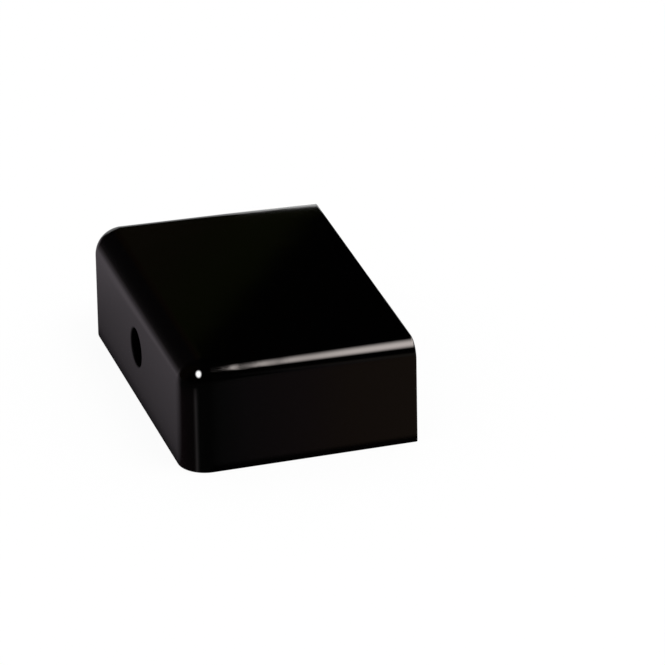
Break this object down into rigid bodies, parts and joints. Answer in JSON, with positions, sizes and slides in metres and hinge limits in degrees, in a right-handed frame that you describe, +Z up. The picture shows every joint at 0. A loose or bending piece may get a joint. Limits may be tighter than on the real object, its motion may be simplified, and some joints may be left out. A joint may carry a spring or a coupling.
{
  "type": "half post cap",
  "caption": "Flat-topped cap for a half post fixed to a wall: skirts with rounded edges, open below and on the wall side, with a screw hole in the outer skirt.",
  "frame": {"origin": "middle of the cap's plan, on the level of the rim", "axes": "+Z up, from the rim to the flat top; +X from the outer skirt with the screw hole to the wall plane; +Y along the wall"},
  "size_m": [0.038, 0.057, 0.0183],
  "materials": {
    "gloss_black_coat": "gloss black coat over a casting, on every face"
  },
  "bodies": {
    "root": {"post_cap": "gloss_black_coat"}
  },
  "joints": []
}
